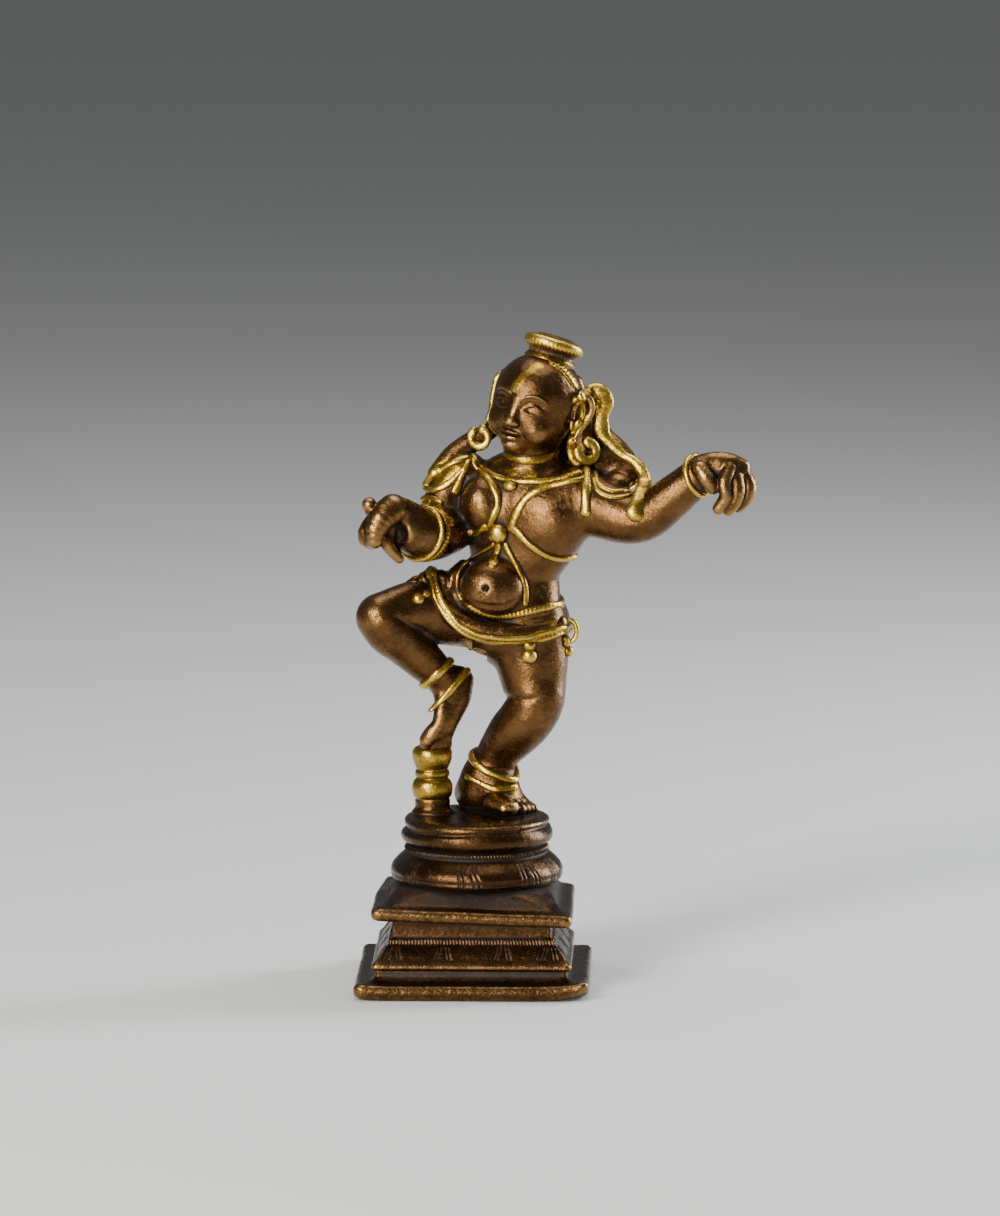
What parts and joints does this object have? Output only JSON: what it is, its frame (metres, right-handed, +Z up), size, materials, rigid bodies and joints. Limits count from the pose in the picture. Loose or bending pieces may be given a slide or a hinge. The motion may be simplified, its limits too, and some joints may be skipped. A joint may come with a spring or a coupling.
{
  "type": "krishna figure",
  "caption": "Small cast figure of a child god dancing on one leg, on a round seat over a stepped square plinth; stands on its flat underside.",
  "frame": {"origin": "middle of the plinth's flat underside, on the surface that it stands on", "axes": "+Z up; the plinth's front faces -Y; +X is the viewer's right, on the side of the stretched arm"},
  "size_m": [0.0722, 0.0428, 0.119],
  "materials": {
    "bronze": "cast copper alloy, warm brown patina, rubbed brassy on the raised ornament"
  },
  "bodies": {
    "root": {"krishna_figure": "bronze"}
  },
  "joints": []
}
